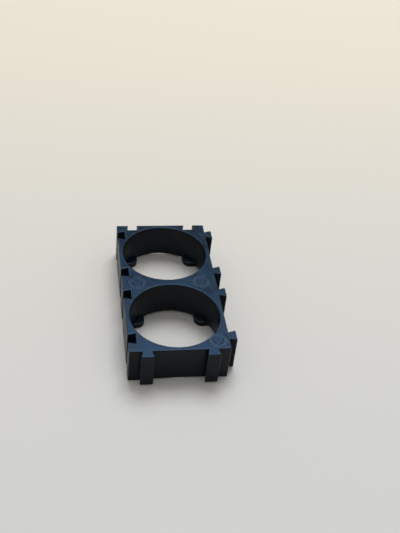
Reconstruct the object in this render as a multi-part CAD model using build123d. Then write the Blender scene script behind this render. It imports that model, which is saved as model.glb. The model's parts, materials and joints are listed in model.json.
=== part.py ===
"""Two-cell holder bracket for 18650 round cells, as one injection-moulded frame.

The frame is a row of square modules, one for each cell, with a thin ring wall round each bore. Dovetail slots
on the -X and +Y faces take the dovetail tabs on the +X and -Y faces of a neighbour, so frames tile into a pack.
Pads under the module corners lift the frame off its surface, leaving a channel for the connecting strip, and
reach into the bores as the ledges that a cell stands on.

Millimetres. X runs across the row, Y along it, and Z up. The origin is on the surface that the frame stands on,
under the middle of the row.
"""
import os

from build123d import *

# Modules and bores
cell_count = 2
bore_diameter = 18.5  # a cell of 18.3 with clearance
bore_spacing = 1.7  # the thinnest wall between two bores
frame_height = 8.2  # from the underside of the pads to the top face
rim_chamfer = 0.15  # lead-in round the mouth of each bore
bore_flare = 0.3  # how far the foot of each bore opens out, below the ledges
corner_radius = 0.3  # upright corners of the frame

# Pads under the module corners, which also hold the ledges
pad_proud = 0.4  # how far the pads stand below the ring walls
ledge_height = 1.2  # from the underside of the pads to where a cell rests
pad_reach_x = 4.7  # inwards from the long faces
pad_reach_y = 5.4  # along the row, each way from a module boundary
pad_inner_radius = 1.7  # at the corners over the bores
pad_outer_radius = 0.5  # at the corners on the outer faces

# Dovetails
slot_mouth = 2.0
slot_back = 2.9
slot_depth = 1.65
slot_inset = 3.6  # from a module boundary to the centre line of a dovetail
dovetail_clearance = 0.1  # on every face of a tab in its slot

# Ejector pin marks on the top face
mark_radius = 2.0
mark_core_radius = 1.1
mark_depth = 0.1
mark_inset_x = 3.2  # inwards from the long faces, on the module boundaries
mark_corner_inset = 2.3  # inwards from both faces, at the corner that no slot cuts

cell_pitch = bore_diameter + bore_spacing  # centre distance, and so the width of a module
slot_offset = cell_pitch / 2 - slot_inset
frame_width = cell_pitch
frame_length = cell_count * cell_pitch
half_width = frame_width / 2
half_length = frame_length / 2
cut_margin = 1.0  # how far a cutter runs past the face that it cuts

cell_rows = [(index - (cell_count - 1) / 2) * cell_pitch for index in range(cell_count)]
boundaries = [-half_length + index * cell_pitch for index in range(cell_count + 1)]
long_face_dovetails = [row + side * slot_offset for row in cell_rows for side in (-1, 1)]
end_face_dovetails = [side * slot_offset for side in (-1, 1)]


def ring_walls():
    """The square modules with their bores, standing clear of the surface by the pads' height."""
    outline = Rectangle(frame_width, frame_length)
    outline = fillet(outline.vertices(), corner_radius)
    block = Pos(0, 0, pad_proud) * extrude(outline, frame_height - pad_proud)
    bore = Cylinder(bore_diameter / 2, 2 * frame_height)
    flare_height = ledge_height - pad_proud
    flare = Cone(bore_diameter / 2 + bore_flare, bore_diameter / 2, flare_height)
    for row in cell_rows:
        block -= Pos(0, row) * bore
        block -= Pos(0, row, pad_proud + flare_height / 2) * flare
    return block


def pad_outline(side, boundary):
    """Plan of the pad at one module corner: side is -1 or 1 for the long face, and boundary the Y of the corner."""
    low = max(boundary - pad_reach_y, -half_length)
    high = min(boundary + pad_reach_y, half_length)
    plan = Pos(side * (half_width - pad_reach_x / 2), (low + high) / 2) * Rectangle(pad_reach_x, high - low)
    for vertex in plan.vertices():
        on_long_face = abs(abs(vertex.X) - half_width) < 1e-6
        on_end_face = abs(abs(vertex.Y) - half_length) < 1e-6
        if on_long_face and on_end_face:
            radius = corner_radius
        elif on_long_face or on_end_face:
            radius = pad_outer_radius
        else:
            radius = pad_inner_radius
        same = plan.vertices().sort_by_distance(vertex.center())[0]
        plan = fillet(same, radius)
    return plan


def pads():
    """A pad under each module corner, as thick as the ledge is high."""
    plans = [pad_outline(side, boundary) for side in (-1, 1) for boundary in boundaries]
    return [extrude(plan, ledge_height) for plan in plans]


def dovetail(mouth, back, depth, root):
    """Plan of a dovetail on the Y axis: its neck of width mouth at Y 0, opening to back at Y depth.

    The neck runs on by root behind Y 0, so that it cuts or joins cleanly.
    """
    corners = [
        (-mouth / 2, -root),
        (mouth / 2, -root),
        (mouth / 2, 0),
        (back / 2, depth),
        (-back / 2, depth),
        (-mouth / 2, 0),
    ]
    return make_face(Polyline(*corners, close=True))


def slot_cutters():
    """Cutters for the slots in the -X and +Y faces, through the ring walls and the pads."""
    plan = dovetail(slot_mouth, slot_back, slot_depth, cut_margin)
    cutter = Pos(0, 0, -cut_margin) * extrude(plan, frame_height + 2 * cut_margin)
    long_face = [Pos(-half_width, y) * Rot(0, 0, -90) * cutter for y in long_face_dovetails]
    end_face = [Pos(x, half_length) * Rot(0, 0, 180) * cutter for x in end_face_dovetails]
    return long_face + end_face


def tabs():
    """Tabs on the +X and -Y faces, smaller than the slots by the clearance and as tall as the ring walls."""
    plan = dovetail(
        slot_mouth - 2 * dovetail_clearance,
        slot_back - 2 * dovetail_clearance,
        slot_depth - dovetail_clearance,
        corner_radius,
    )
    tab = Pos(0, 0, pad_proud) * extrude(plan, frame_height - pad_proud)
    long_face = [Pos(half_width, y) * Rot(0, 0, -90) * tab for y in long_face_dovetails]
    end_face = [Pos(x, -half_length) * Rot(0, 0, 180) * tab for x in end_face_dovetails]
    return long_face + end_face


def ejector_marks():
    """Shallow rings left in the top face by the ejector pins."""
    inner_x = half_width - mark_inset_x
    corner = (half_width - mark_corner_inset, -half_length + mark_corner_inset)
    centres = [(side * inner_x, y) for y in boundaries[1:-1] for side in (-1, 1)] + [corner]
    ring = Circle(mark_radius) - Circle(mark_core_radius)
    cutter = Pos(0, 0, frame_height - mark_depth) * extrude(ring, mark_depth + cut_margin)
    return [Pos(x, y) * cutter for x, y in centres]


def rim_cutters():
    """Cones that take the sharp edge off the mouth of each bore."""
    height = rim_chamfer + cut_margin
    cone = Cone(bore_diameter / 2, bore_diameter / 2 + height, height)
    return [Pos(0, row, frame_height - rim_chamfer + height / 2) * cone for row in cell_rows]


def bracket():
    """The whole moulding as one solid."""
    body = ring_walls()
    for piece in pads() + tabs():
        body += piece
    for cutter in slot_cutters() + ejector_marks() + rim_cutters():
        body -= cutter
    return body.clean()


os.makedirs("parts", exist_ok=True)
moulding = bracket()
moulding.label = "cell_holder_frame"
export_step(moulding, "parts/cell_holder_frame.step")
box = moulding.bounding_box()
print("solids", len(moulding.solids()), "volume", round(moulding.volume, 1), "box", box.min, box.max)
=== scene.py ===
import json
import math

import bmesh
import bpy
from mathutils import Matrix, Vector

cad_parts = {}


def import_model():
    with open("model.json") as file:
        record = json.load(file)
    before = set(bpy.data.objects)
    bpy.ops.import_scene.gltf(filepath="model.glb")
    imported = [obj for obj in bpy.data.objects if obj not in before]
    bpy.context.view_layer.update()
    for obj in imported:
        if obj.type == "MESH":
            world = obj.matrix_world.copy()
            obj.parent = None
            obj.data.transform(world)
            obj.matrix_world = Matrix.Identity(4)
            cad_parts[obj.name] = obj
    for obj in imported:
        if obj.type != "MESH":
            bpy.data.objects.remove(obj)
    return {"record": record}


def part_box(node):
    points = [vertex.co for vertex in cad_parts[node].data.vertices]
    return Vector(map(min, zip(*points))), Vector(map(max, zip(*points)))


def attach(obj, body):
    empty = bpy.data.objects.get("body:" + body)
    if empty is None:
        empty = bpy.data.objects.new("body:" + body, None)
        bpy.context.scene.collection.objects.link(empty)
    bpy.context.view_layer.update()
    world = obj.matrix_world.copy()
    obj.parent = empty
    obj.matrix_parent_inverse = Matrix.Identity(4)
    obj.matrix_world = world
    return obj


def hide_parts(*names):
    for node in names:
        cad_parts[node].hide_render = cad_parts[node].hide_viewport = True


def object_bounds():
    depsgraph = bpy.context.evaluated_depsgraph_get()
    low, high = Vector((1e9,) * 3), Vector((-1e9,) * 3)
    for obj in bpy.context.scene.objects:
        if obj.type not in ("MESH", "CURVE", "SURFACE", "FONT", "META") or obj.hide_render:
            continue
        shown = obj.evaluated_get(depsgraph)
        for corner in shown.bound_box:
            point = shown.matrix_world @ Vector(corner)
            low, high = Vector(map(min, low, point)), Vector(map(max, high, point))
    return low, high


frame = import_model()
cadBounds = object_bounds()
print("frame loaded")

millimetre = 0.001


# helpers for node trees
class Wire:
    # one output socket, so that sums are written as sums
    def __init__(self, bench, socket):
        self.bench = bench
        self.socket = socket

    def __add__(self, other):
        return self.bench.maths("ADD", self, other)

    def __radd__(self, other):
        return self.bench.maths("ADD", other, self)

    def __sub__(self, other):
        return self.bench.maths("SUBTRACT", self, other)

    def __rsub__(self, other):
        return self.bench.maths("SUBTRACT", other, self)

    def __mul__(self, other):
        return self.bench.maths("MULTIPLY", self, other)

    def __rmul__(self, other):
        return self.bench.maths("MULTIPLY", other, self)

    def __neg__(self):
        return self.bench.maths("MULTIPLY", self, -1.0)


class Bench:
    # adds nodes to a tree and wires them up
    def __init__(self, tree):
        self.tree = tree
        self.tree.nodes.clear()

    def socket(self, sockets, key):
        if isinstance(key, int):
            return sockets[key]
        exact = [item for item in sockets if item.identifier == key]
        return exact[0] if exact else sockets[key]

    def node(self, kind, inlets=None, outlet=0, **settings):
        made = self.tree.nodes.new(kind)
        for key, value in settings.items():
            setattr(made, key, value)
        for key, value in (inlets or {}).items():
            target = self.socket(made.inputs, key)
            if isinstance(value, Wire):
                self.tree.links.new(value.socket, target)
            else:
                target.default_value = value
        if not made.outputs:
            return made
        return Wire(self, self.socket(made.outputs, outlet))

    def given(self, name):
        # one of the group's own inputs
        return self.node("NodeGroupInput", outlet=name)

    def maths(self, operation, first, second=0.0):
        return self.node("ShaderNodeMath", {0: first, 1: second}, operation=operation)

    def ramp(self, value, low, high, start=0.0, end=1.0):
        inlets = {"Value": value, "From Min": low, "From Max": high, "To Min": start, "To Max": end}
        return self.node("ShaderNodeMapRange", inlets, outlet="Result")

    def blend(self, factor, first, second):
        inlets = {"Factor_Float": factor, "A_Color": first, "B_Color": second}
        return self.node("ShaderNodeMix", inlets, outlet="Result_Color", data_type="RGBA")

    def noise(self, vector, size, detail, roughness, stretch=None):
        # size in millimetres
        if stretch:
            vector = self.node("ShaderNodeVectorMath", {0: vector, 1: stretch}, operation="MULTIPLY")
        scale = 1 / millimetre / size
        inlets = {"Vector": vector, "Scale": scale, "Detail": detail, "Roughness": roughness}
        return self.node("ShaderNodeTexNoise", inlets, outlet="Fac")


# helpers for meshes
def objectFrom(name, work):
    bmesh.ops.recalc_face_normals(work, faces=work.faces)
    mesh = bpy.data.meshes.new(name)
    work.to_mesh(mesh)
    work.free()
    made = bpy.data.objects.new(name, mesh)
    bpy.context.scene.collection.objects.link(made)
    return made


def prism(name, loop, low, high):
    work = bmesh.new()
    base = work.faces.new([work.verts.new((point[0], point[1], low)) for point in loop])
    grown = bmesh.ops.extrude_face_region(work, geom=[base])["geom"]
    lifted = [item for item in grown if isinstance(item, bmesh.types.BMVert)]
    bmesh.ops.translate(work, verts=lifted, vec=(0, 0, high - low))
    return objectFrom(name, work)


def roundedLoop(corners, radii, steps):
    # a closed outline whose corners are arcs that meet the straight sides smoothly
    points = []
    for index, place in enumerate(corners):
        corner = Vector(place)
        before = (Vector(corners[index - 1]) - corner).normalized()
        after = (Vector(corners[(index + 1) % len(corners)]) - corner).normalized()
        half = before.angle(after) / 2
        centre = corner + (before + after).normalized() * radii[index] / math.sin(half)
        first = corner + before * radii[index] / math.tan(half) - centre
        last = corner + after * radii[index] / math.tan(half) - centre
        angle = math.atan2(first.y, first.x)
        sweep = (math.atan2(last.y, last.x) - angle + math.pi) % (2 * math.pi) - math.pi
        for step in range(steps + 1):
            turned = angle + sweep * step / steps
            points.append(centre + Vector((math.cos(turned), math.sin(turned))) * radii[index])
    return points


def circleLoop(centre, radius, steps):
    x, y = centre
    turns = [2 * math.pi * step / steps for step in range(steps)]
    return [(x + radius * math.cos(turn), y + radius * math.sin(turn)) for turn in turns]


def turnedTool(name, centres, section, steps, hollow=False):
    # the same turning at each centre, from a section of (radius, height) points
    # hollow closes the section on itself, as for a ring
    work = bmesh.new()
    for centre in centres:
        rings = []
        for radius, level in section:
            rings.append([work.verts.new((x, y, level)) for x, y in circleLoop(centre, radius, steps)])
        pairs = list(zip(rings, rings[1:]))
        if hollow:
            pairs.append((rings[-1], rings[0]))
        else:
            work.faces.new(rings[0])
            work.faces.new(rings[-1])
        for ring, other in pairs:
            for step in range(steps):
                after = (step + 1) % steps
                work.faces.new((ring[step], ring[after], other[after], other[step]))
    return objectFrom(name, work)


def settle(item):
    # replaces an object's mesh by what its modifiers make of it
    graph = bpy.context.evaluated_depsgraph_get()
    graph.update()
    mesh = bpy.data.meshes.new_from_object(item.evaluated_get(graph), depsgraph=graph)
    item.modifiers.clear()
    item.data = mesh


def combine(item, tool, operation):
    step = item.modifiers.new(tool.name, "BOOLEAN")
    step.operation = operation
    step.solver = "EXACT"
    step.object = tool
    settle(item)
    bpy.data.objects.remove(tool, do_unlink=True)


plasticLook = {
    "black": (0.0022, 0.0055, 0.0090, 1.0),
    "blackWorn": (0.0044, 0.0090, 0.0142, 1.0),
    # the rubbed edge colour is wear and also a painted highlight: a light blue line along the rounded
    # edges, the bore mouths and the marks
    "rubbedEdge": (0.045, 0.062, 0.085, 1.0),
    "specularLevel": 0.15,
    "refraction": 1.53,
    # the spark texture of the mould
    "grain": {"size": 0.12, "detail": 3.0, "roughness": 0.6},
    "grainHeight": 0.7,
    # where handling has polished the skin
    "mottle": {"size": 3.2, "detail": 4.0, "roughness": 0.55},
    "dullRange": (0.34, 0.66),
    "roughness": 0.27,
    "dullRoughness": 0.2,
    # faint lines of flow
    "flow": {"size": 1.1, "detail": 2.0, "roughness": 0.5, "stretch": (1.0, 0.25, 0.12)},
    "flowHeight": 0.25,
    "flowRoughness": 0.08,
    # hairline scuffs, only where the mottle is above scuffPlaces
    "scuff": {"size": 0.22, "detail": 1.0, "roughness": 0.5, "stretch": (1.0, 0.045, 1.0)},
    "scuffRange": (0.66, 0.74),
    "scuffPlaces": (0.5, 0.62),
    "scuffHeight": -0.2,
    "scuffRoughness": 0.06,
    "scuffTint": 0.12,
    # rubbed edges with their painted highlight, from little to much
    "rubbing": {"size": 1.6, "detail": 3.0, "roughness": 0.5},
    "rubbingRange": (0.2, 0.8),
    "rubbingAmount": (0.35, 1.0),
    "wearRoughness": -0.05,
    "wearTint": 0.5,
    "bumpStrength": 0.38,
    "bumpDepth": 0.02,  # mm
}


def mouldedPlastic():
    look = plasticLook
    material = bpy.data.materials.new("black moulded abs")
    material.use_nodes = True
    bench = Bench(material.node_tree)
    place = bench.node("ShaderNodeTexCoord", outlet="Object")
    grain = bench.noise(place, **look["grain"])
    mottle = bench.noise(place, **look["mottle"])
    flow = bench.noise(place, **look["flow"])
    scuffLines = bench.noise(place, **look["scuff"])
    rubbing = bench.noise(place, **look["rubbing"])
    scuff = bench.ramp(scuffLines, *look["scuffRange"]) * bench.ramp(mottle, *look["scuffPlaces"])
    # the rounded edges, bore mouths and mark floors get wear mixed with a painted highlight
    edge = bench.node("ShaderNodeAttribute", outlet="Fac", attribute_name="edgeWear")
    wearAndHighlight = edge * bench.ramp(rubbing, *look["rubbingRange"], *look["rubbingAmount"])
    dull = bench.ramp(mottle, *look["dullRange"])
    skin = bench.blend(dull, look["black"], look["blackWorn"])
    colour = bench.blend(wearAndHighlight * look["wearTint"] + scuff * look["scuffTint"], skin, look["rubbedEdge"])
    roughness = look["roughness"] + dull * look["dullRoughness"] + (flow - 0.5) * look["flowRoughness"]
    roughness = roughness + scuff * look["scuffRoughness"] + wearAndHighlight * look["wearRoughness"]
    height = grain * look["grainHeight"] + flow * look["flowHeight"] + scuff * look["scuffHeight"]
    inlets = {
        "Height": height,
        "Strength": look["bumpStrength"],
        "Distance": look["bumpDepth"] * millimetre,
    }
    bump = bench.node("ShaderNodeBump", inlets, outlet="Normal")
    shader = bench.node("ShaderNodeBsdfPrincipled", {
        "Base Color": colour,
        "Roughness": roughness,
        "Normal": bump,
        "IOR": look["refraction"],
        "Specular IOR Level": look["specularLevel"],
    }, outlet="BSDF")
    bench.node("ShaderNodeOutputMaterial", {"Surface": shader})
    return material


# the frame is made in millimetres and scaled when it is finished
bracket = {
    "cornerRadius": 0.3,
    "padProud": 0.4,  # the pads stand this far below the ring walls
    "boreFlare": 0.3,  # the foot of each bore opens out by this below the ledges
    "ledgeHeight": 1.2,
    "padReachAcross": 4.7,
    "padReachAlong": 5.4,
    "padInnerRadius": 1.7,
    "padOuterRadius": 0.5,
    "slotMouth": 2.0,
    "slotBack": 2.9,
    "slotDepth": 1.65,
    "dovetailClearance": 0.1,
    "dovetailOffset": 6.5,  # from the centre of a cell
    "markRadius": 2.0,
    "markCoreRadius": 1.1,
    "markDepth": 0.1,
    "markSlope": 0.15,  # how far the side of a mark leans out over its depth
    "markSegments": 72,
    "markWear": 0.7,  # how far the pins have rubbed the skin, with a painted highlight on the floor of each mark
    "markInset": 3.2,  # from a long face
    "markCornerInset": 2.3,
    "edgeRound": 0.15,
    "edgeSteps": 3,
    "edgeFade": 0.3,  # wear and a painted highlight where a rounding runs out into a face
    "boreSegments": 144,
    "mouthRound": 0.2,
    "mouthSteps": 5,
    "arcSteps": 8,
}
overrun = 1.0  # how far a cutter runs past the face that it cuts
hair = 1e-4  # mm, nearer than this counts as touching
planeSlack = 0.01  # mm, an edge this near to the parting plane counts as on it
flatAngle = math.radians(0.1)  # below this two faces are one
roundAngle = math.radians(25)  # above this an outer edge is rounded
creaseAngle = math.radians(32)  # above this an edge stays sharp to the light

low, high = [Vector(corner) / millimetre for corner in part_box("cell_holder_frame")]
mounts = {mount["name"]: mount for mount in frame["record"]["mounts"]}
bores = [mounts["cell_bore_front"], mounts["cell_bore_back"]]
boreRadius = bores[0]["dims"]["r_mm"]
cellRows = [bore["pos_m"][1] / millimetre for bore in bores]
pitch = cellRows[1] - cellRows[0]
halfWidth = -low.x  # nothing stands out of the slotted faces, so they give the half width and length
halfLength = high.y
boundaries = [-halfLength + index * pitch for index in range(len(cellRows) + 1)]


def rectangle(lowX, lowY, highX, highY):
    return [(lowX, lowY), (highX, lowY), (highX, highY), (lowX, highY)]


def ringWalls():
    sides = rectangle(-halfWidth, -halfLength, halfWidth, halfLength)
    loop = roundedLoop(sides, [bracket["cornerRadius"]] * 4, bracket["arcSteps"])
    return prism("cellHolderFrame", loop, bracket["padProud"], high.z)


def boreTool():
    # from below: a flare up to the ledges, the bore, and a rounded mouth
    ledge = bracket["ledgeHeight"]
    slope = bracket["boreFlare"] / (ledge - bracket["padProud"])
    mouth = bracket["mouthRound"]
    section = [(boreRadius + slope * (ledge + overrun), -overrun), (boreRadius, ledge)]
    for step in range(bracket["mouthSteps"] + 1):
        turned = math.pi / 2 * step / bracket["mouthSteps"]
        lift = mouth * math.sin(turned)
        section.append((boreRadius + mouth * (1 - math.cos(turned)), high.z - mouth + lift))
    section.append((boreRadius + mouth, high.z + overrun))
    return turnedTool("bores", [(0, row) for row in cellRows], section, bracket["boreSegments"])


def padTool(side, boundary):
    near = side * halfWidth
    far = side * (halfWidth - bracket["padReachAcross"])
    lowY = max(boundary - bracket["padReachAlong"], -halfLength)
    highY = min(boundary + bracket["padReachAlong"], halfLength)
    corners = rectangle(min(near, far), lowY, max(near, far), highY)
    radii = []
    for x, y in corners:
        outer = x == near
        atEnd = abs(y) == halfLength
        if outer and atEnd:
            radii.append(bracket["cornerRadius"])
        elif outer or atEnd:
            radii.append(bracket["padOuterRadius"])
        else:
            radii.append(bracket["padInnerRadius"])
    return prism("pad", roundedLoop(corners, radii, bracket["arcSteps"]), 0, bracket["ledgeHeight"])


def dovetailTool(mouth, back, reach, root, bottom, top):
    # widens from its mouth to its back, with a root that runs the other way into the wall
    loop = [
        (-mouth / 2, -root),
        (mouth / 2, -root),
        (mouth / 2, 0),
        (back / 2, reach),
        (-back / 2, reach),
        (-mouth / 2, 0),
    ]
    return prism("dovetail", loop, bottom, top)


def rowTree():
    # pairs of dovetails, one pair for each cell, set out along a face and turned to meet it
    tree = bpy.data.node_groups.new("row of dovetails", "GeometryNodeTree")
    kinds = {
        "Tool": "NodeSocketObject",
        "Cells": "NodeSocketInt",
        "Pitch": "NodeSocketFloat",
        "Offset": "NodeSocketFloat",
        "Distance": "NodeSocketFloat",
        "Turn": "NodeSocketFloat",
        "Plastic": "NodeSocketMaterial",
    }
    for name, kind in kinds.items():
        tree.interface.new_socket(name, in_out="INPUT", socket_type=kind)
    tree.interface.new_socket("Row", in_out="OUTPUT", socket_type="NodeSocketGeometry")
    bench = Bench(tree)
    cells = bench.given("Cells")
    rowPitch = bench.given("Pitch")
    offset = bench.given("Offset")
    pairStart = bench.node("ShaderNodeCombineXYZ", {"X": -offset})
    pairStep = bench.node("ShaderNodeCombineXYZ", {"X": offset * 2.0})
    inlets = {"Count": 2, "Start Location": pairStart, "Offset": pairStep}
    pair = bench.node("GeometryNodeMeshLine", inlets)
    rowStart = bench.node("ShaderNodeCombineXYZ", {"X": (cells - 1.0) * rowPitch * -0.5})
    rowStep = bench.node("ShaderNodeCombineXYZ", {"X": rowPitch})
    inlets = {"Count": cells, "Start Location": rowStart, "Offset": rowStep}
    row = bench.node("GeometryNodeMeshLine", inlets)
    pairs = bench.node("GeometryNodeInstanceOnPoints", {"Points": row, "Instance": pair})
    points = bench.node("GeometryNodeRealizeInstances", {"Geometry": pairs})
    tool = bench.node("GeometryNodeObjectInfo", {"Object": bench.given("Tool")}, outlet="Geometry")
    placed = bench.node("GeometryNodeInstanceOnPoints", {"Points": points, "Instance": tool})
    away = bench.node("ShaderNodeCombineXYZ", {"Y": bench.given("Distance")})
    shifted = bench.node("GeometryNodeTransform", {"Geometry": placed, "Translation": away})
    turn = bench.node("ShaderNodeCombineXYZ", {"Z": bench.given("Turn")})
    turned = bench.node("GeometryNodeTransform", {"Geometry": shifted, "Rotation": turn})
    real = bench.node("GeometryNodeRealizeInstances", {"Geometry": turned})
    inlets = {"Geometry": real, "Material": bench.given("Plastic")}
    done = bench.node("GeometryNodeSetMaterial", inlets)
    bench.node("NodeGroupOutput", {"Row": done})
    return tree


def dovetailRow(tree, tool, cells, distance, turn, plastic):
    carrier = objectFrom("row", bmesh.new())
    rows = carrier.modifiers.new("row", "NODES")
    rows.node_group = tree
    values = {
        "Tool": tool,
        "Cells": cells,
        "Pitch": float(pitch),
        "Offset": bracket["dovetailOffset"],
        "Distance": float(distance),
        "Turn": math.radians(turn),
        "Plastic": plastic,
    }
    for item in tree.interface.items_tree:
        if item.in_out == "INPUT":
            rows[item.identifier] = values[item.name]
    carrier.update_tag()
    settle(carrier)
    return carrier


def addTabs(item, tree, plastic):
    gap = bracket["dovetailClearance"]
    mouth = bracket["slotMouth"] - 2 * gap
    back = bracket["slotBack"] - 2 * gap
    reach = bracket["slotDepth"] - gap
    tab = dovetailTool(mouth, back, reach, bracket["cornerRadius"], bracket["padProud"], high.z)
    for cells, distance, turn in ((len(cellRows), halfWidth, -90), (1, halfLength, 180)):
        combine(item, dovetailRow(tree, tab, cells, distance, turn, plastic), "UNION")
    bpy.data.objects.remove(tab, do_unlink=True)


def cutSlots(item, tree, plastic):
    mouth = bracket["slotMouth"]
    back = bracket["slotBack"]
    slot = dovetailTool(mouth, back, bracket["slotDepth"], overrun, -overrun, high.z + overrun)
    for cells, distance, turn in ((len(cellRows), -halfWidth, -90), (1, -halfLength, 180)):
        combine(item, dovetailRow(tree, slot, cells, distance, turn, plastic), "DIFFERENCE")
    bpy.data.objects.remove(slot, do_unlink=True)


def cutMarks(item):
    # shallow rings with leaning sides, where the ejector pins pushed
    depth = bracket["markDepth"]
    outer = bracket["markRadius"]
    inner = bracket["markCoreRadius"]
    lift = overrun / 2
    lean = bracket["markSlope"] / depth * (depth + lift)
    section = [
        (inner, high.z - depth),
        (outer, high.z - depth),
        (outer + lean, high.z + lift),
        (inner - lean, high.z + lift),
    ]
    inset = halfWidth - bracket["markInset"]
    corner = bracket["markCornerInset"]
    centres = [(side * inset, y) for y in boundaries[1:-1] for side in (-1, 1)]
    centres.append((halfWidth - corner, -halfLength + corner))
    marks = turnedTool("marks", centres, section, bracket["markSegments"], hollow=True)
    combine(item, marks, "DIFFERENCE")
    rubSkinAndPaintHighlight(item, high.z - 1.5 * depth, high.z - hair)


def rubSkinAndPaintHighlight(item, bottom, top):
    # clears slivers, and rubs what faces up between two levels, which also paints a highlight there
    # that is the marks, and the roundings of the top edges
    work = bmesh.new()
    work.from_mesh(item.data)
    bmesh.ops.remove_doubles(work, verts=work.verts, dist=2 * hair)
    bmesh.ops.dissolve_degenerate(work, edges=work.edges, dist=2 * hair)
    layer = work.loops.layers.float["edgeWear"]
    for face in work.faces:
        if bottom < face.calc_center_median().z < top and face.normal.z > 0.5:
            for loop in face.loops:
                loop[layer] = max(loop[layer], bracket["markWear"])
    work.to_mesh(item.data)
    work.free()


def inMouth(point):
    # whether a point is on the rounded mouth of a bore
    reach = min(math.hypot(point.x, point.y - row) for row in cellRows)
    mouth = bracket["mouthRound"]
    return high.z - mouth < point.z < high.z - hair and reach < boreRadius + mouth


def roundEdges(item):
    # rounds every outer edge but those of the parting plane, and notes where the rounding and the bore
    # mouths are, for wear and a painted highlight
    work = bmesh.new()
    work.from_mesh(item.data)
    bmesh.ops.remove_doubles(work, verts=work.verts, dist=hair)
    bmesh.ops.dissolve_limit(work, angle_limit=flatAngle, verts=work.verts, edges=work.edges)
    sharp = []
    for edge in work.edges:
        if len(edge.link_faces) != 2 or not edge.is_convex:
            continue
        onPartingPlane = all(abs(vert.co.z - bracket["padProud"]) < planeSlack for vert in edge.verts)
        if edge.calc_face_angle() > roundAngle and not onPartingPlane:
            sharp.append(edge)
    made = bmesh.ops.bevel(
        work, geom=sharp, affect="EDGES", clamp_overlap=False,
        offset=bracket["edgeRound"], offset_type="OFFSET",
        segments=bracket["edgeSteps"], profile=0.5,  # a round one
    )
    rounded = set(made["faces"])
    rounded.update(face for face in work.faces if inMouth(face.calc_center_median()))
    layer = work.loops.layers.float.new("edgeWear")
    for face in rounded:
        for loop in face.loops:
            inside = all(other in rounded for other in loop.vert.link_faces)
            loop[layer] = 1.0 if inside else bracket["edgeFade"]
    print("rounded faces", len(rounded), "of", len(work.faces))
    work.to_mesh(item.data)
    work.free()


def smoothSkin(item):
    # flat faces stay flat to the light, and only the rounded edges turn
    work = bmesh.new()
    work.from_mesh(item.data)
    for face in work.faces:
        face.smooth = True
    for edge in work.edges:
        edge.smooth = len(edge.link_faces) == 2 and edge.calc_face_angle() < creaseAngle
    work.to_mesh(item.data)
    work.free()
    weighted = item.modifiers.new("weighted", "WEIGHTED_NORMAL")
    weighted.keep_sharp = True
    weighted.weight = 100  # the largest face decides
    settle(item)


def cellHolderFrame(plastic):
    item = ringWalls()
    combine(item, boreTool(), "DIFFERENCE")
    print("bores cut")
    tree = rowTree()
    addTabs(item, tree, plastic)
    for side in (-1, 1):
        for boundary in boundaries:
            combine(item, padTool(side, boundary), "UNION")
    cutSlots(item, tree, plastic)
    print("dovetails and pads made")
    roundEdges(item)
    cutMarks(item)
    item.data.materials.clear()
    item.data.materials.append(plastic)
    item.data.transform(Matrix.Scale(millimetre, 4))
    smoothSkin(item)
    return item


holder = cellHolderFrame(mouldedPlastic())
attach(holder, "root")
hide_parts("cell_holder_frame")
print("frame dressed", len(holder.data.polygons), "faces")


room = {
    # painted light on the floor: darker and cooler near the camera, lighter and warmer far off
    "floorNear": (0.685, 0.72, 0.80, 1.0),
    "floorFar": (0.79, 0.785, 0.745, 1.0),
    "floorFade": (-0.04, 0.13),  # from near to far along Y
    "floorSize": 6.0,
    "floorRoughness": 0.9,
    "worldColour": (1.0, 0.925, 0.78, 1.0),
    "worldLevel": 0.48,
    "glossColour": (0.55, 0.78, 1.0, 1.0),
    "glossLevel": 0.28,
    "farColour": (0.82, 0.78, 0.69, 1.0),
    "farLevel": 1.0,
}


def floor():
    work = bmesh.new()
    bmesh.ops.create_grid(work, x_segments=1, y_segments=1, size=room["floorSize"] / 2)
    made = objectFrom("floor", work)
    made.location.z = cadBounds[0][2]
    material = bpy.data.materials.new("pale floor")
    material.use_nodes = True
    bench = Bench(material.node_tree)
    place = bench.node("ShaderNodeTexCoord", outlet="Object")
    along = bench.node("ShaderNodeSeparateXYZ", {"Vector": place}, outlet="Y")
    # painted light: the floor's colour runs from the darker near colour to the lighter, warmer far one
    colour = bench.blend(bench.ramp(along, *room["floorFade"]), room["floorNear"], room["floorFar"])
    shader = bench.node("ShaderNodeBsdfPrincipled", {
        "Base Color": colour,
        "Roughness": room["floorRoughness"],
        "Specular IOR Level": 0.0,
    }, outlet="BSDF")
    bench.node("ShaderNodeOutputMaterial", {"Surface": shader})
    made.data.materials.append(material)
    return made


def world():
    # one light for surfaces, a cooler one for gloss, and a plain colour for the camera
    studio = bpy.data.worlds.new("studio")
    studio.use_nodes = True
    bench = Bench(studio.node_tree)
    sky = {}
    for name in ("world", "gloss", "far"):
        inlets = {"Color": room[name + "Colour"], "Strength": room[name + "Level"]}
        sky[name] = bench.node("ShaderNodeBackground", inlets)
    inGloss = bench.node("ShaderNodeLightPath", outlet="Is Glossy Ray")
    seen = bench.node("ShaderNodeLightPath", outlet="Is Camera Ray")
    lit = bench.node("ShaderNodeMixShader", {0: inGloss, 1: sky["world"], 2: sky["gloss"]})
    both = bench.node("ShaderNodeMixShader", {0: seen, 1: lit, 2: sky["far"]})
    bench.node("ShaderNodeOutputWorld", {"Surface": both})
    bpy.context.scene.world = studio


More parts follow.
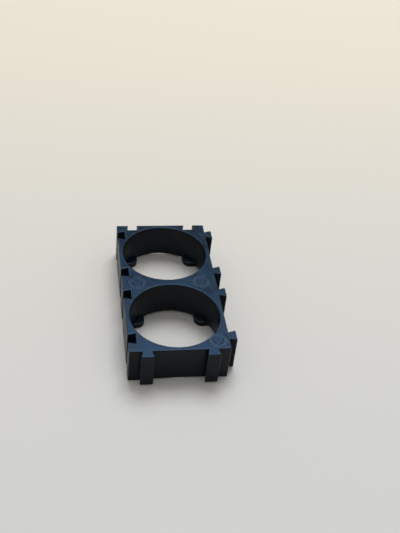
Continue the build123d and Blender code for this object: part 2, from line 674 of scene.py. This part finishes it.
softBoxes = {
    "lamp": {
        "colour": (0.98, 0.95, 0.88),
        "power": 7.4,
        "size": 0.6,
        "distance": 1.1,
        "azimuth": 15.0,
        "elevation": 62.0,
    },
    "window": {  # a cool sheen, for gloss alone
        "colour": (0.25, 0.50, 0.94),
        "power": 13.0,
        "size": 0.52,
        "distance": 0.62,
        "azimuth": 12.0,
        "elevation": 71.0,
    },
    "overhead": {  # catches the rounded edges
        "colour": (0.62, 0.80, 1.0),
        "power": 2.4,
        "size": 0.34,
        "distance": 0.6,
        "azimuth": 190.0,
        "elevation": 80.0,
    },
}


def direction(azimuth, elevation):
    # azimuth runs from +Y towards +X, in degrees
    turned = math.radians(azimuth)
    raised = math.radians(elevation)
    flat = math.cos(raised)
    return Vector((flat * math.sin(turned), flat * math.cos(turned), math.sin(raised)))


def softBox(name, lightsSurfaces, showsInGloss):
    kit = softBoxes[name]
    light = bpy.data.lights.new(name, "AREA")
    light.shape = "SQUARE"
    light.size = kit["size"]
    light.energy = kit["power"]
    light.color = kit["colour"]
    made = bpy.data.objects.new(name, light)
    way = direction(kit["azimuth"], kit["elevation"])
    made.location = way * kit["distance"]
    made.rotation_euler = way.to_track_quat("Z", "Y").to_euler()
    made.visible_diffuse = lightsSurfaces
    made.visible_glossy = showsInGloss
    bpy.context.scene.collection.objects.link(made)
    return made


shot = {
    "aim": (8.4, 10.0, 4.0),  # mm
    "distance": 175.9,  # mm
    "azimuth": 12.47,
    "elevation": 39.1,
    "roll": 6.93,
    "lens": 51.95,
    "nearest": 0.005,  # m
}


def camera():
    lens = bpy.data.cameras.new("camera")
    lens.lens = shot["lens"]
    lens.clip_start = shot["nearest"]
    made = bpy.data.objects.new("camera", lens)
    ahead = direction(shot["azimuth"], -shot["elevation"])
    level = direction(shot["azimuth"] + 90, 0)
    raised = level.cross(ahead)
    roll = math.radians(shot["roll"])
    right = level * math.cos(roll) + raised * math.sin(roll)
    up = right.cross(ahead)
    turned = Matrix((right, up, -ahead)).transposed().to_4x4()
    place = (Vector(shot["aim"]) - ahead * shot["distance"]) * millimetre
    made.matrix_world = Matrix.Translation(place) @ turned
    bpy.context.scene.collection.objects.link(made)
    bpy.context.scene.camera = made


world()
floor()
softBox("lamp", True, False)
softBox("window", False, True)
softBox("overhead", False, True)
camera()
bpy.context.scene.view_settings.view_transform = "Standard"
print("room lit")
